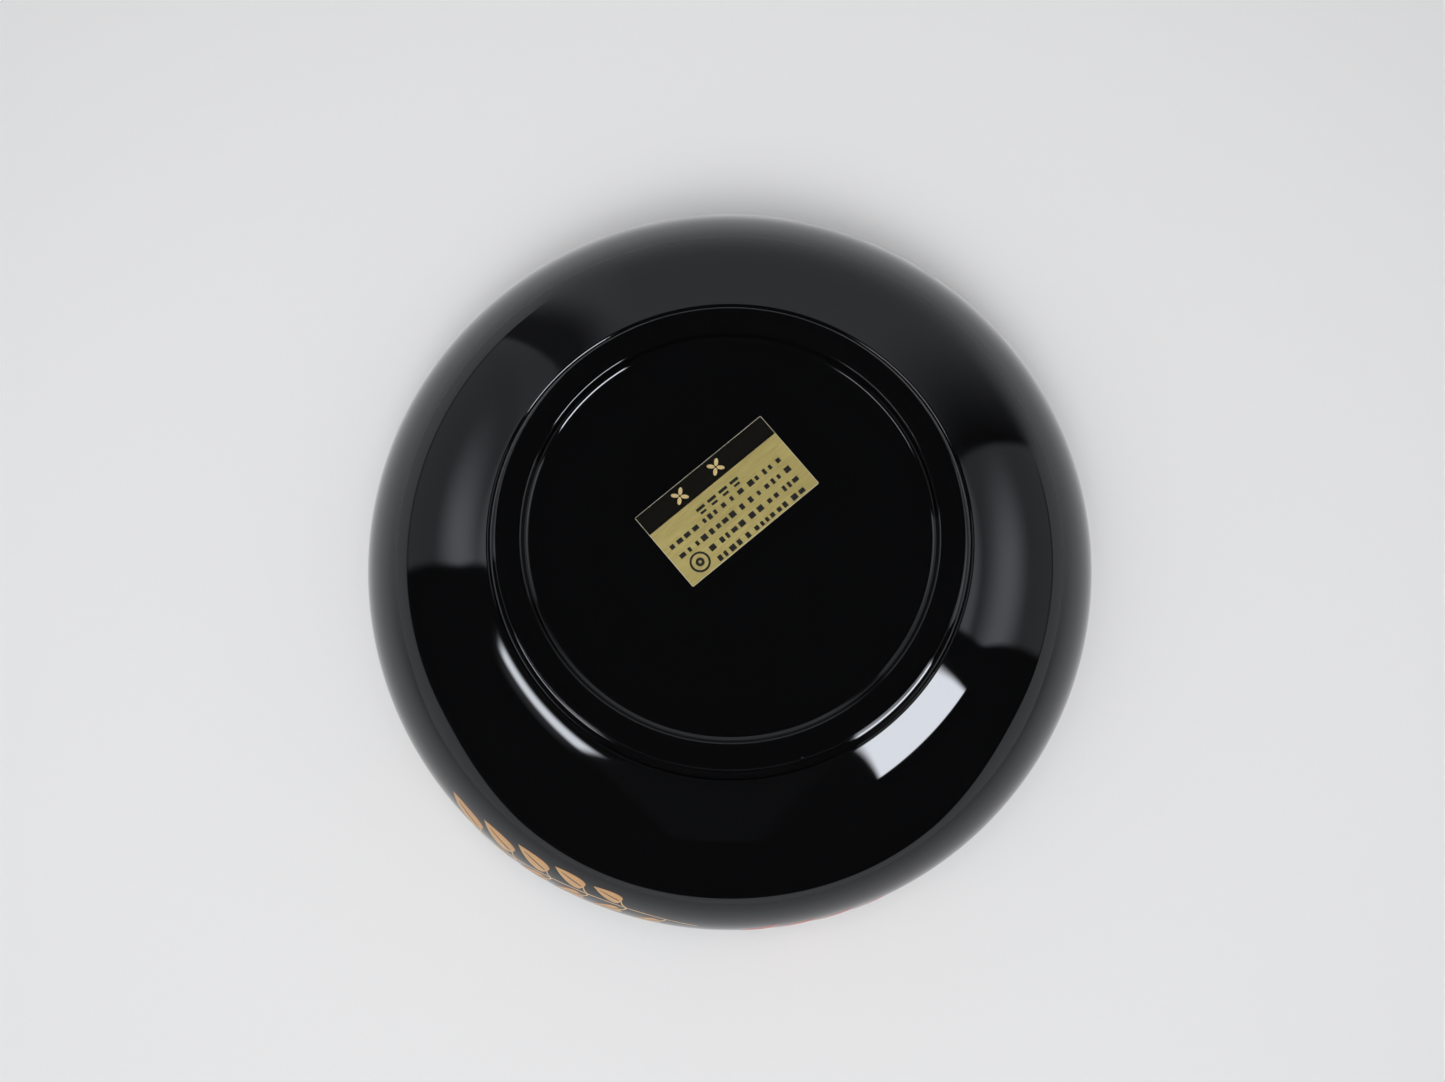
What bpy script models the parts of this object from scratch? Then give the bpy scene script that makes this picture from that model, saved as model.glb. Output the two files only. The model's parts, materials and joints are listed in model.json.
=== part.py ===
"""Black lacquered sweets bowl: a turned wooden body on a low foot ring, its coats of lacquer,
two leaf sprays in gold and in red lying on the side, and a foil label in the foot's recess.

Metres, +Z up. The origin is the centre of the foot's resting face, and the mouth faces +Z.
Every layer is drawn thicker than the real film, with an air gap to the layer under it.
"""

import math

import bmesh
import bpy

MM = 0.001

# Facets and gaps
SEGMENTS = 56  # facets round each turned piece
FACET_BULGE = 0.35 * MM  # how far a profile arc stands proud of its facets, at most
FACET_TURN = math.radians(20)  # the most that one facet of a profile arc turns
GAP = 0.3 * MM  # air between two pieces that touch on the real bowl
COAT = 0.8 * MM  # lacquer film, drawn thick

# Foot ring, from its centre outwards
RECESS_DEPTH = 2.8 * MM
RECESS_FLOOR_RADIUS = 63.4 * MM
RECESS_MOUTH_RADIUS = 64.6 * MM
FOOT_RADIUS = 72.8 * MM
FOOT_WALL_HEIGHT = 6.3 * MM  # straight part of the foot's outer wall
FOOT_WALL_DRAFT = 0.1 * MM
FOOT_HEIGHT = 6.5 * MM  # where the foot meets the belly
FOOT_RUN = 2.0 * MM  # from the foot's edge out to that line

# Side wall, as three arcs that run into each other
BELLY_SLOPE = math.radians(4.3)  # rise of the belly where it leaves the foot
SHOULDER_SLOPE = math.radians(45)  # where the belly arc gives way to the shoulder arc
BELLY_ARC = 53.6 * MM
SHOULDER_ARC = 38.8 * MM
RIM_ARC = 34.0 * MM
RIM_TURN = math.radians(38)  # how far the rim arc leans inwards past the widest ring
WALL = 4.8 * MM
LIP_RADIUS = WALL / 2

# Sizes that follow from the ones above
BELLY_CENTRE = (
    FOOT_RADIUS + FOOT_RUN - BELLY_ARC * math.sin(BELLY_SLOPE),
    FOOT_HEIGHT + BELLY_ARC * math.cos(BELLY_SLOPE),
)
SHOULDER_CENTRE = (
    BELLY_CENTRE[0] + (BELLY_ARC - SHOULDER_ARC) * math.sin(SHOULDER_SLOPE),
    BELLY_CENTRE[1] - (BELLY_ARC - SHOULDER_ARC) * math.cos(SHOULDER_SLOPE),
)
BOWL_RADIUS = SHOULDER_CENTRE[0] + SHOULDER_ARC
WIDEST_Z = SHOULDER_CENTRE[1]
RIM_CENTRE = (BOWL_RADIUS - RIM_ARC, WIDEST_Z)
LIP_CENTRE = (
    RIM_CENTRE[0] + (RIM_ARC - LIP_RADIUS) * math.cos(RIM_TURN),
    RIM_CENTRE[1] + (RIM_ARC - LIP_RADIUS) * math.sin(RIM_TURN),
)

# Leaf sprays. Angles run round the bowl from +X, and a rise runs up the wall from the widest ring.
PAINT = 0.3 * MM  # thickness of the gold and red work
GOLD_START = math.radians(-85)
GOLD_END = math.radians(-39.5)
GOLD_LOWEST = math.radians(-70)  # where the gold stem comes nearest to the foot
GOLD_LOWEST_RISE = -13.7 * MM
GOLD_CURVE = 0.0235 * MM / math.radians(1) ** 2
GOLD_FIRST_NODE = math.radians(-79.2)
GOLD_NODE_STEP = math.radians(6.25)
GOLD_PAIRS = 6
GOLD_LEAF = 9.2 * MM  # length of the first leaf, and how much longer each later one is
GOLD_LEAF_GROWTH = 1.35 * MM
GOLD_STALK = 3.6 * MM  # from the stem to a leaf's base
GOLD_STALK_GROWTH = 0.12 * MM
RED_START = math.radians(-88)
RED_END = math.radians(-116)
RED_START_RISE = 3.5 * MM
RED_CURVE = 0.006 * MM / math.radians(1) ** 2
RED_FIRST_NODE = math.radians(-92)
RED_NODE_STEP = math.radians(-5.7)
RED_PAIRS = 4
RED_STALK = 2.4 * MM
STEM_WIDTH = 0.9 * MM
TIP_GAP = math.radians(0.4)  # from a stem's end to the leaf at its tip

# Label
LABEL_LENGTH = 51.0 * MM
LABEL_WIDTH = 28.2 * MM
LABEL_BAND = 7.2 * MM  # width of the dark heading band
LABEL_CENTRE = (1.0 * MM, 10.8 * MM)
LABEL_ANGLE = math.radians(140)
LABEL_LAYER = 0.3 * MM

BLACK = (0.006, 0.006, 0.007)
GOLD = (0.62, 0.38, 0.16)
RED = (0.62, 0.09, 0.07)
FOIL = (0.42, 0.36, 0.14)
WOOD = (0.45, 0.28, 0.14)
WHITE = (0.75, 0.74, 0.70)


def clear_scene():
    for thing in list(bpy.data.objects):
        bpy.data.objects.remove(thing, do_unlink=True)


def finish(name, colour, roughness, metallic):
    """A Principled material for one piece."""
    material = bpy.data.materials.new(name)
    material.use_nodes = True
    shader = material.node_tree.nodes["Principled BSDF"]
    shader.inputs["Base Color"].default_value = (*colour, 1)
    shader.inputs["Roughness"].default_value = roughness
    shader.inputs["Metallic"].default_value = metallic
    return material


def add_piece(name, shape, colour, roughness, metallic=0.0):
    """Closes a bmesh into a named object with its own material, shaded smooth."""
    bmesh.ops.remove_doubles(shape, verts=shape.verts, dist=1e-7)
    bmesh.ops.recalc_face_normals(shape, faces=shape.faces)
    mesh = bpy.data.meshes.new(name)
    shape.to_mesh(mesh)
    shape.free()
    mesh.shade_smooth()
    mesh.set_sharp_from_angle(angle=math.radians(30))
    mesh.materials.append(finish(name, colour, roughness, metallic))
    piece = bpy.data.objects.new(name, mesh)
    bpy.context.scene.collection.objects.link(piece)
    return piece


def arc(centre, radius, start, end):
    """Points of a profile arc. An angle of 0 faces straight down, and 90 degrees faces outwards."""
    facet = min(2 * math.acos(1 - FACET_BULGE / radius), FACET_TURN)
    steps = max(2, math.ceil(abs(end - start) / facet))
    angles = [start + (end - start) * i / steps for i in range(steps + 1)]
    return [(centre[0] + radius * math.sin(a), centre[1] - radius * math.cos(a)) for a in angles]


def foot_line():
    """Finished surface of the foot, from the axis out to the line where the belly starts."""
    return [
        (0, RECESS_DEPTH),
        (RECESS_FLOOR_RADIUS, RECESS_DEPTH),
        (RECESS_MOUTH_RADIUS, 0),
        (FOOT_RADIUS, 0),
        (FOOT_RADIUS + FOOT_WALL_DRAFT, FOOT_WALL_HEIGHT),
        (FOOT_RADIUS + FOOT_RUN, FOOT_HEIGHT),
    ]


def side_line():
    """Finished surface of the outside, from the foot up to the top of the lip."""
    belly = arc(BELLY_CENTRE, BELLY_ARC, BELLY_SLOPE + GAP / BELLY_ARC, SHOULDER_SLOPE)
    shoulder = arc(SHOULDER_CENTRE, SHOULDER_ARC, SHOULDER_SLOPE, math.pi / 2)
    rim = arc(RIM_CENTRE, RIM_ARC, math.pi / 2, math.pi / 2 + RIM_TURN)
    lip = arc(LIP_CENTRE, LIP_RADIUS, math.pi / 2 + RIM_TURN, math.pi - GAP / 2 / LIP_RADIUS)
    return belly + shoulder[1:] + rim[1:] + lip[1:]


def inside_line():
    """Finished surface of the inside, from the top of the lip down to the axis."""
    lip = arc(LIP_CENTRE, LIP_RADIUS, math.pi + GAP / 2 / LIP_RADIUS, 1.5 * math.pi + RIM_TURN)
    rim = arc(RIM_CENTRE, RIM_ARC - WALL, math.pi / 2 + RIM_TURN, math.pi / 2)
    shoulder = arc(SHOULDER_CENTRE, SHOULDER_ARC - WALL, math.pi / 2, SHOULDER_SLOPE)
    belly = arc(BELLY_CENTRE, BELLY_ARC - WALL, SHOULDER_SLOPE, BELLY_SLOPE)
    dish_radius = belly[-1][0] / math.sin(BELLY_SLOPE)
    dish_bottom = belly[-1][1] - dish_radius * (1 - math.cos(BELLY_SLOPE))
    return lip + rim[1:] + shoulder[1:] + belly[1:] + [(0, dish_bottom)]


def inset(line, depth):
    """The line moved into the wood by a depth, with mitred corners. Its ends on the axis stay there."""
    facing = []
    for (r, z), (next_r, next_z) in zip(line, line[1:]):
        length = math.hypot(next_r - r, next_z - z)
        facing.append(((z - next_z) / length, (next_r - r) / length))
    moved = []
    for (r, z), before, after in zip(line, facing[:1] + facing, facing + facing[-1:]):
        scale = depth / (1 + before[0] * after[0] + before[1] * after[1])
        across = (before[0] + after[0]) * scale if r > 0 else 0
        moved.append((r + across, z + (before[1] + after[1]) * scale))
    return moved


def turn(name, outline, colour, roughness, metallic=0.0):
    """Spins a closed profile of (radius, height) points about the Z axis."""
    shape = bmesh.new()
    corners = [shape.verts.new((r, 0, z)) for r, z in outline]
    for here, following in zip(corners, corners[1:] + corners[:1]):
        if here.co.x > 0 or following.co.x > 0:
            shape.edges.new((here, following))
    bmesh.ops.spin(
        shape,
        geom=shape.verts[:] + shape.edges[:],
        axis=(0, 0, 1),
        angle=2 * math.pi,
        steps=SEGMENTS,
        use_merge=True,
    )
    return add_piece(name, shape, colour, roughness, metallic)


def turned_body():
    """The wooden core, and the coats of lacquer round it."""
    coats = {
        "foot_lacquer": foot_line(),
        "outer_lacquer": side_line(),
        "inner_lacquer": inside_line(),
    }
    whole = [point for line in coats.values() for point in line]
    under = inset(whole, COAT)
    turn("wood_core", inset(whole, COAT + GAP), WOOD, 0.6)
    first = 0
    for name, line in coats.items():
        last = first + len(line)
        turn(name, line + under[first:last][::-1], BLACK, 0.08)
        first = last


def on_side(angle, rise, height):
    """A point over the side wall, at a height above the finished lacquer."""
    radius = RIM_ARC if rise > 0 else SHOULDER_ARC
    lean = rise / radius
    out = BOWL_RADIUS - radius + (radius + height) * math.cos(lean)
    return out * math.cos(angle), out * math.sin(angle), WIDEST_Z + (radius + height) * math.sin(lean)


def painted_patch(name, stations, half_width, place, colour, roughness, metallic):
    """A thin patch of paint on the side: a strip with its own half width at each station along it."""
    shape = bmesh.new()
    grid = bmesh.ops.create_grid(shape, x_segments=stations, y_segments=2, size=0.5)
    for corner in grid["verts"]:
        along = corner.co.x + 0.5
        corner.co = (along, 2 * corner.co.y * half_width(along), 0)
    bmesh.ops.remove_doubles(shape, verts=shape.verts, dist=1e-7)
    raised = bmesh.ops.extrude_face_region(shape, geom=shape.faces[:])
    top = {part for part in raised["geom"] if isinstance(part, bmesh.types.BMVert)}
    for corner in shape.verts:
        angle, rise = place(corner.co.x, corner.co.y)
        corner.co = on_side(angle, rise, GAP + (PAINT if corner in top else 0))
    return add_piece(name, shape, colour, roughness, metallic)


def leaf(name, base, heading, length, width, colour, roughness, metallic):
    """A pointed oval leaf from its base (angle, rise), lying at a heading from the ring's direction."""

    def half_width(along):
        return 1.163 * width * along**0.42 * (1 - along) ** 0.95

    def place(along, across):
        ahead = along * length
        round_bowl = ahead * math.cos(heading) - across * math.sin(heading)
        up_wall = ahead * math.sin(heading) + across * math.cos(heading)
        return base[0] + round_bowl / BOWL_RADIUS, base[1] + up_wall

    return painted_patch(name, 8, half_width, place, colour, roughness, metallic)


def stem(name, start, end, rise_at, colour, roughness, metallic):
    """A thin tapering stem that follows rise_at(angle) round the side."""

    def half_width(along):
        return STEM_WIDTH / 2 * (0.4 + 0.6 * along)

    def place(along, across):
        angle = start + (end - start) * along
        return angle, rise_at(angle) + across

    return painted_patch(name, 24, half_width, place, colour, roughness, metallic)


def gold_rise(angle):
    return GOLD_LOWEST_RISE + GOLD_CURVE * (angle - GOLD_LOWEST) ** 2


def red_rise(angle):
    return RED_START_RISE + RED_CURVE * (angle - RED_START) ** 2


def gold_spray():
    """A stem that grows to the right, with a leaf below and a leaf above each node, and one at its tip."""
    look = (GOLD, 0.35, 0.6)
    stem("gold_stem", GOLD_START, GOLD_END, gold_rise, *look)
    for i in range(GOLD_PAIRS):
        node = GOLD_FIRST_NODE + GOLD_NODE_STEP * i
        length = GOLD_LEAF + GOLD_LEAF_GROWTH * i
        droop = math.radians(-17 - 2 * i)
        lift = math.radians(22 + 5 * i)
        below = gold_rise(node) - GOLD_STALK - GOLD_STALK_GROWTH * max(0, i - 2) ** 3
        above = gold_rise(node) + GOLD_STALK
        if i > 0:
            leaf(f"gold_leaf_low_{i}", (node, below), droop, length, 0.58 * length, *look)
        leaf(f"gold_leaf_high_{i + 1}", (node, above), lift, length, 0.50 * length, *look)
    tip = (GOLD_END + TIP_GAP, gold_rise(GOLD_END) + STEM_WIDTH)
    leaf("gold_leaf_tip", tip, math.radians(25), 15 * MM, 6.6 * MM, *look)


def red_spray():
    """A shorter stem that grows to the left, with leaves below and above it, and one at its tip."""
    look = (RED, 0.3, 0.0)
    stem("red_stem", RED_START, RED_END, red_rise, *look)
    for i in range(RED_PAIRS):
        node = RED_FIRST_NODE + RED_NODE_STEP * i
        below = (node, red_rise(node) - RED_STALK)
        above = (node, red_rise(node) + RED_STALK)
        leaf(f"red_leaf_low_{i + 1}", below, math.radians(218), 15 * MM, 5.6 * MM, *look)
        if i < RED_PAIRS - 1:
            leaf(f"red_leaf_high_{i + 1}", above, math.radians(138), 11 * MM, 4.6 * MM, *look)
    tip = (RED_END - TIP_GAP, red_rise(RED_END))
    leaf("red_leaf_tip", tip, math.radians(170), 12 * MM, 5 * MM, *look)


def label_sheet(name, low, high, layer, colour, roughness, metallic=0.0):
    """A flat piece of the label, between two heights across it, on the given layer under the recess."""
    shape = bmesh.new()
    bmesh.ops.create_cube(shape, size=1)
    top = RECESS_DEPTH - GAP - layer * (LABEL_LAYER + GAP)
    for corner in shape.verts:
        x = corner.co.x * LABEL_LENGTH
        y = (low + high) / 2 + corner.co.y * (high - low)
        z = top - LABEL_LAYER * (0.5 - corner.co.z)
        turned_x = x * math.cos(LABEL_ANGLE) - y * math.sin(LABEL_ANGLE)
        turned_y = x * math.sin(LABEL_ANGLE) + y * math.cos(LABEL_ANGLE)
        corner.co = (LABEL_CENTRE[0] + turned_x, LABEL_CENTRE[1] + turned_y, z)
    return add_piece(name, shape, colour, roughness, metallic)


def label():
    """The quality label: a paper backing, and on it the gold foil and a dark heading band."""
    half = LABEL_WIDTH / 2
    seam = -half + LABEL_BAND
    label_sheet("label_backing", -half, half, 0, WHITE, 0.6)
    label_sheet("label_band", -half, seam - GAP / 2, 1, BLACK, 0.25)
    label_sheet("label_foil", seam + GAP / 2, half, 1, FOIL, 0.3, 0.9)


clear_scene()
turned_body()
gold_spray()
red_spray()
label()
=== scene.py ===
import json
import math
import random

import bmesh
import bpy
from mathutils import Matrix, Vector

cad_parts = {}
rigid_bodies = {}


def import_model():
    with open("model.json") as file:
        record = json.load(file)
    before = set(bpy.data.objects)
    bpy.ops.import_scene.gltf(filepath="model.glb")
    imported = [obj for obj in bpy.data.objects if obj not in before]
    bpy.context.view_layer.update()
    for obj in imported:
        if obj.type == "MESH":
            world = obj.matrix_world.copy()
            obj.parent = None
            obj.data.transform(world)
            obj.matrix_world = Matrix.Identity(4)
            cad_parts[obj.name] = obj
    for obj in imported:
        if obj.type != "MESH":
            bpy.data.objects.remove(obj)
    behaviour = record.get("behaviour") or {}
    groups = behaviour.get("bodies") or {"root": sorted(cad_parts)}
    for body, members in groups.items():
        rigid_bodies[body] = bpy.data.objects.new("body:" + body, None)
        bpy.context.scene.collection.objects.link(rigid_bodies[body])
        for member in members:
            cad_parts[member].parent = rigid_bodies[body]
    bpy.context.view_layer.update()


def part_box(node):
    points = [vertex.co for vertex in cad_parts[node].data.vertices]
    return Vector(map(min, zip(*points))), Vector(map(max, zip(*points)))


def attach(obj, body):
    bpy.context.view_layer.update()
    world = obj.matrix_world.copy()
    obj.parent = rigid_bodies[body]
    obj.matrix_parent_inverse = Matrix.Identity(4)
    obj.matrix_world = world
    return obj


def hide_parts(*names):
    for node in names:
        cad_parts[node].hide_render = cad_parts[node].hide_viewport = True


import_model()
mm = 0.001

# the frame gives the sizes that the finished surfaces have to meet
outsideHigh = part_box("outer_lacquer")[1]
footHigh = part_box("foot_lacquer")[1]
bowlRadius = outsideHigh.x
bowlHeight = outsideHigh.z
bellyStart = footHigh.x  # where the foot's cove runs into the belly

foot = {
    "recessDepth": 2.8 * mm,
    "recessFloorRadius": 63.4 * mm,
    "recessMouthRadius": 64.6 * mm,
    "radius": 72.8 * mm,
    "wallTopRadius": 72.85 * mm,
    "height": 6.5 * mm,
    "wallTop": 6.38 * mm,
    "filletRadius": 1.0 * mm,  # inside corner of the recess
    "innerEdge": 0.4 * mm,
    "outerEdge": 0.35 * mm,
    "coveRadius": 0.12 * mm,
    "hold": 0.12 * mm,  # a flat face keeps its own normals up to this far from a rounded edge
    "floorRings": (0.25, 0.5, 0.75),
    "edgeSteps": 10,
}

wall = {
    "bellySlope": math.radians(4.3),
    "shoulderSlope": math.radians(45),
    "bellyArc": 53.6 * mm,
    "shoulderArc": 38.8 * mm,
    "rimArc": 34.0 * mm,
    "rimTurn": math.radians(38),
    "thickness": 4.8 * mm,
    "film": 0.2 * mm,  # lacquer
    "turnSteps": 288,
    "arcStep": math.radians(1.5),
    "coreGap": 0.05 * mm,  # between the film and the wood
    "merge": 0.002 * mm,
}


def arcCentres():
    # centres of the three arcs of the outside, as (radius, height)
    slope, turn = wall["bellySlope"], wall["shoulderSlope"]
    step = wall["bellyArc"] - wall["shoulderArc"]
    belly = (
        bellyStart - wall["bellyArc"] * math.sin(slope),
        foot["height"] + wall["bellyArc"] * math.cos(slope),
    )
    shoulder = (belly[0] + step * math.sin(turn), belly[1] - step * math.cos(turn))
    rim = (shoulder[0] + wall["shoulderArc"] - wall["rimArc"], shoulder[1])
    lipRadius = wall["thickness"] / 2
    reach = wall["rimArc"] - lipRadius
    lip = (rim[0] + reach * math.cos(wall["rimTurn"]), rim[1] + reach * math.sin(wall["rimTurn"]))
    return {"belly": belly, "shoulder": shoulder, "rim": rim, "lip": lip}


centres = arcCentres()
widestHeight = centres["shoulder"][1]


def socket(node, name, value):
    node.inputs[name].default_value = value


def newMaterial(name):
    material = bpy.data.materials.new(name)
    material.use_nodes = True
    tree = material.node_tree
    return material, tree, tree.nodes["Principled BSDF"]


def addMath(tree, operation, first, second=None, third=None, clamp=False):
    node = tree.nodes.new("ShaderNodeMath")
    node.operation = operation
    node.use_clamp = clamp
    for index, value in enumerate((first, second, third)):
        if value is None:
            continue
        if isinstance(value, (int, float)):
            node.inputs[index].default_value = value
        else:
            tree.links.new(value, node.inputs[index])
    return node.outputs[0]


def addRamp(tree, value, low, high, outLow=0.0, outHigh=1.0, smooth=True):
    node = tree.nodes.new("ShaderNodeMapRange")
    node.interpolation_type = "SMOOTHSTEP" if smooth else "LINEAR"
    tree.links.new(value, node.inputs["Value"])
    socket(node, "From Min", low)
    socket(node, "From Max", high)
    socket(node, "To Min", outLow)
    socket(node, "To Max", outHigh)
    return node.outputs["Result"]


def addNoise(tree, vector, scale, detail=2.0, roughness=0.5, distortion=0.0):
    node = tree.nodes.new("ShaderNodeTexNoise")
    if vector is not None:
        tree.links.new(vector, node.inputs["Vector"])
    socket(node, "Scale", scale)
    socket(node, "Detail", detail)
    socket(node, "Roughness", roughness)
    socket(node, "Distortion", distortion)
    return node.outputs["Fac"]


def addMix(tree, factor, first, second):
    node = tree.nodes.new("ShaderNodeMix")
    node.data_type = "RGBA"
    if isinstance(factor, float):
        node.inputs[0].default_value = factor
    else:
        tree.links.new(factor, node.inputs[0])
    for index, colour in ((6, first), (7, second)):
        if isinstance(colour, tuple):
            node.inputs[index].default_value = (*colour, 1)
        else:
            tree.links.new(colour, node.inputs[index])
    return node.outputs[2]


def addBump(tree, shader, height, strength, distance):
    node = tree.nodes.new("ShaderNodeBump")
    socket(node, "Strength", strength)
    socket(node, "Distance", distance)
    tree.links.new(height, node.inputs["Height"])
    tree.links.new(node.outputs["Normal"], shader.inputs["Normal"])
    return node


def objectCoordinates(tree):
    return tree.nodes.new("ShaderNodeTexCoord").outputs["Object"]


lacquerLook = {
    "colour": (0.0022, 0.0022, 0.0025),
    "dust": (0.10, 0.10, 0.10),
    "roughness": (0.018, 0.045),
    "polishSize": 14,
    "ior": 1.5,
    "sheen": (0.90, 0.935, 1.0),  # its reflections are a little cool
    "peelSize": 90,  # ripples per metre in the brushed film
    "peelDepth": 0.012 * mm,
    "fineSize": 900,
    "fineDepth": 0.03,  # against the ripples
    "bump": 0.35,
    "dustGrid": 95,  # cells per metre, with a speck in some of them
    "dustSize": (0.008, 0.026),  # against the size of a cell
    "dustChosen": 0.8,  # cells drawn over this hold a speck
    "dustRoughness": 0.4,
}


def makeLacquer(name, rippleDepth=1.0):
    material, tree, shader = newMaterial(name)
    place = objectCoordinates(tree)
    look = lacquerLook
    # specks of dust, one in a few of the cells
    cells = tree.nodes.new("ShaderNodeTexVoronoi")
    socket(cells, "Scale", look["dustGrid"])
    socket(cells, "Randomness", 1.0)
    tree.links.new(place, cells.inputs["Vector"])
    picked = tree.nodes.new("ShaderNodeSeparateColor")
    tree.links.new(cells.outputs["Color"], picked.inputs["Color"])
    chosen = addMath(tree, "GREATER_THAN", picked.outputs["Red"], look["dustChosen"])
    size = addRamp(tree, picked.outputs["Green"], 0.0, 1.0, *look["dustSize"], smooth=False)
    inside = addMath(tree, "LESS_THAN", cells.outputs["Distance"], size)
    speck = addMath(tree, "MULTIPLY", chosen, inside)
    tree.links.new(addMix(tree, speck, look["colour"], look["dust"]), shader.inputs["Base Color"])
    # a polish that varies slowly, with the finest marks of a cloth
    cloud = addNoise(tree, place, look["polishSize"], 3)
    polish = addRamp(tree, cloud, 0.35, 0.7, *look["roughness"])
    dusty = addMath(tree, "MULTIPLY_ADD", speck, look["dustRoughness"], polish)
    tree.links.new(dusty, shader.inputs["Roughness"])
    socket(shader, "IOR", look["ior"])
    socket(shader, "Specular Tint", (*look["sheen"], 1))
    # long slow ripples left in the film, and a trace of finer texture
    slow = addNoise(tree, place, look["peelSize"], 1)
    fine = addNoise(tree, place, look["fineSize"], 2)
    height = addMath(tree, "MULTIPLY_ADD", fine, look["fineDepth"], slow)
    addBump(tree, shader, height, look["bump"], look["peelDepth"] * rippleDepth)
    return material


woodLook = {
    "stretch": (1, 0.12, 1),  # the grain runs across the bowl
    "rings": 55,
    "waver": 3.0,
    "pores": 900,
    "early": (0.40, 0.23, 0.10),
    "late": (0.56, 0.36, 0.19),
    "pore": (0.25, 0.13, 0.06),
    "roughness": 0.6,
    "poreDepth": 0.1 * mm,
}


def makeWood():
    material, tree, shader = newMaterial("turnedWood")
    look = woodLook
    place = objectCoordinates(tree)
    squash = tree.nodes.new("ShaderNodeMapping")
    squash.inputs["Scale"].default_value = look["stretch"]
    tree.links.new(place, squash.inputs["Vector"])
    rings = tree.nodes.new("ShaderNodeTexWave")
    rings.wave_type = "RINGS"
    socket(rings, "Scale", look["rings"])
    socket(rings, "Distortion", look["waver"])
    socket(rings, "Detail", 3.0)
    tree.links.new(squash.outputs["Vector"], rings.inputs["Vector"])
    pores = addNoise(tree, squash.outputs["Vector"], look["pores"], 3, 0.6)
    grain = addMix(tree, rings.outputs["Fac"], look["early"], look["late"])
    tone = addMix(tree, addRamp(tree, pores, 0.45, 0.75, 0, 0.5), grain, look["pore"])
    tree.links.new(tone, shader.inputs["Base Color"])
    socket(shader, "Roughness", look["roughness"])
    addBump(tree, shader, pores, 0.3, look["poreDepth"])
    return material


def beginAt(shape, radius, height):
    return shape.verts.new((radius, 0, height))


def lineTo(shape, last, radius, height):
    grown = bmesh.ops.extrude_vert_indiv(shape, verts=[last])["verts"][0]
    grown.co = (radius, 0, height)
    return grown


def arcTo(shape, last, centre, angle):
    # a point spun round an arc's centre, growing the profile as it goes; a negative angle turns the other way
    steps = max(3, round(abs(angle) / wall["arcStep"]))
    swept = bmesh.ops.spin(
        shape,
        geom=[last],
        cent=(centre[0], 0, centre[1]),
        axis=(0, -1, 0),
        angle=angle,
        steps=steps,
    )
    return next(part for part in swept["geom_last"] if isinstance(part, bmesh.types.BMVert))


def footProfile(shape):
    # from the axis out across the recess, over the ring and up to the belly
    hold = foot["hold"]
    floor, deep = foot["recessFloorRadius"], foot["recessDepth"]
    rounded = {}
    last = beginAt(shape, 0, deep)
    for part in foot["floorRings"]:
        last = lineTo(shape, last, floor * part, deep)
    last = lineTo(shape, last, floor - foot["filletRadius"] - hold, deep)
    last = rounded["filletRadius"] = lineTo(shape, last, floor, deep)
    last = rounded["innerEdge"] = lineTo(shape, last, foot["recessMouthRadius"], 0)
    last = lineTo(shape, last, foot["recessMouthRadius"] + foot["innerEdge"] + hold, 0)
    last = lineTo(shape, last, foot["radius"] - foot["outerEdge"] - hold, 0)
    last = rounded["outerEdge"] = lineTo(shape, last, foot["radius"], 0)
    draft = (foot["wallTopRadius"] - foot["radius"]) / foot["wallTop"]
    low = foot["outerEdge"] + hold
    last = lineTo(shape, last, foot["radius"] + draft * low, low)
    tall = foot["wallTop"] - foot["coveRadius"] - hold
    last = lineTo(shape, last, foot["radius"] + draft * tall, tall)
    last = rounded["coveRadius"] = lineTo(shape, last, foot["wallTopRadius"], foot["wallTop"])
    end = lineTo(shape, last, bellyStart, foot["height"])
    for name, corner in rounded.items():
        bmesh.ops.bevel(
            shape,
            geom=[corner],
            offset=foot[name],
            offset_type="OFFSET",
            affect="VERTICES",
            segments=foot["edgeSteps"],
            profile=0.5,
            material=-1,
        )
    return end


def outsideProfile(shape, last):
    # belly, shoulder and rim arcs, then the outer quarter of the lip
    last = arcTo(shape, last, centres["belly"], wall["shoulderSlope"] - wall["bellySlope"])
    last = arcTo(shape, last, centres["shoulder"], math.pi / 2 - wall["shoulderSlope"])
    last = arcTo(shape, last, centres["rim"], wall["rimTurn"])
    return arcTo(shape, last, centres["lip"], math.pi / 2 - wall["rimTurn"])


def insideProfile(shape, last):
    # from the top of the lip down the wall and in across the dished floor
    last = arcTo(shape, last, centres["lip"], math.pi / 2 + wall["rimTurn"])
    last = arcTo(shape, last, centres["rim"], -wall["rimTurn"])
    last = arcTo(shape, last, centres["shoulder"], wall["shoulderSlope"] - math.pi / 2)
    last = arcTo(shape, last, centres["belly"], wall["bellySlope"] - wall["shoulderSlope"])
    dish = last.co.x / math.sin(wall["bellySlope"])
    return arcTo(shape, last, (0, last.co.z + dish * math.cos(wall["bellySlope"])), -wall["bellySlope"])


def turnRound(shape, lowestFaces=-1):
    # spins the finished profile about the bowl's axis; the lowest faces look down, or up inside the bowl
    bmesh.ops.spin(
        shape,
        geom=shape.verts[:] + shape.edges[:],
        axis=(0, 0, 1),
        angle=2 * math.pi,
        steps=wall["turnSteps"],
        use_merge=True,
    )
    bmesh.ops.remove_doubles(shape, verts=shape.verts, dist=wall["merge"])
    bmesh.ops.recalc_face_normals(shape, faces=shape.faces)
    lowest = min(shape.faces, key=lambda face: face.calc_center_median().z)
    lowest.normal_update()
    if lowest.normal.z * lowestFaces < 0:
        bmesh.ops.reverse_faces(shape, faces=shape.faces)


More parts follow.
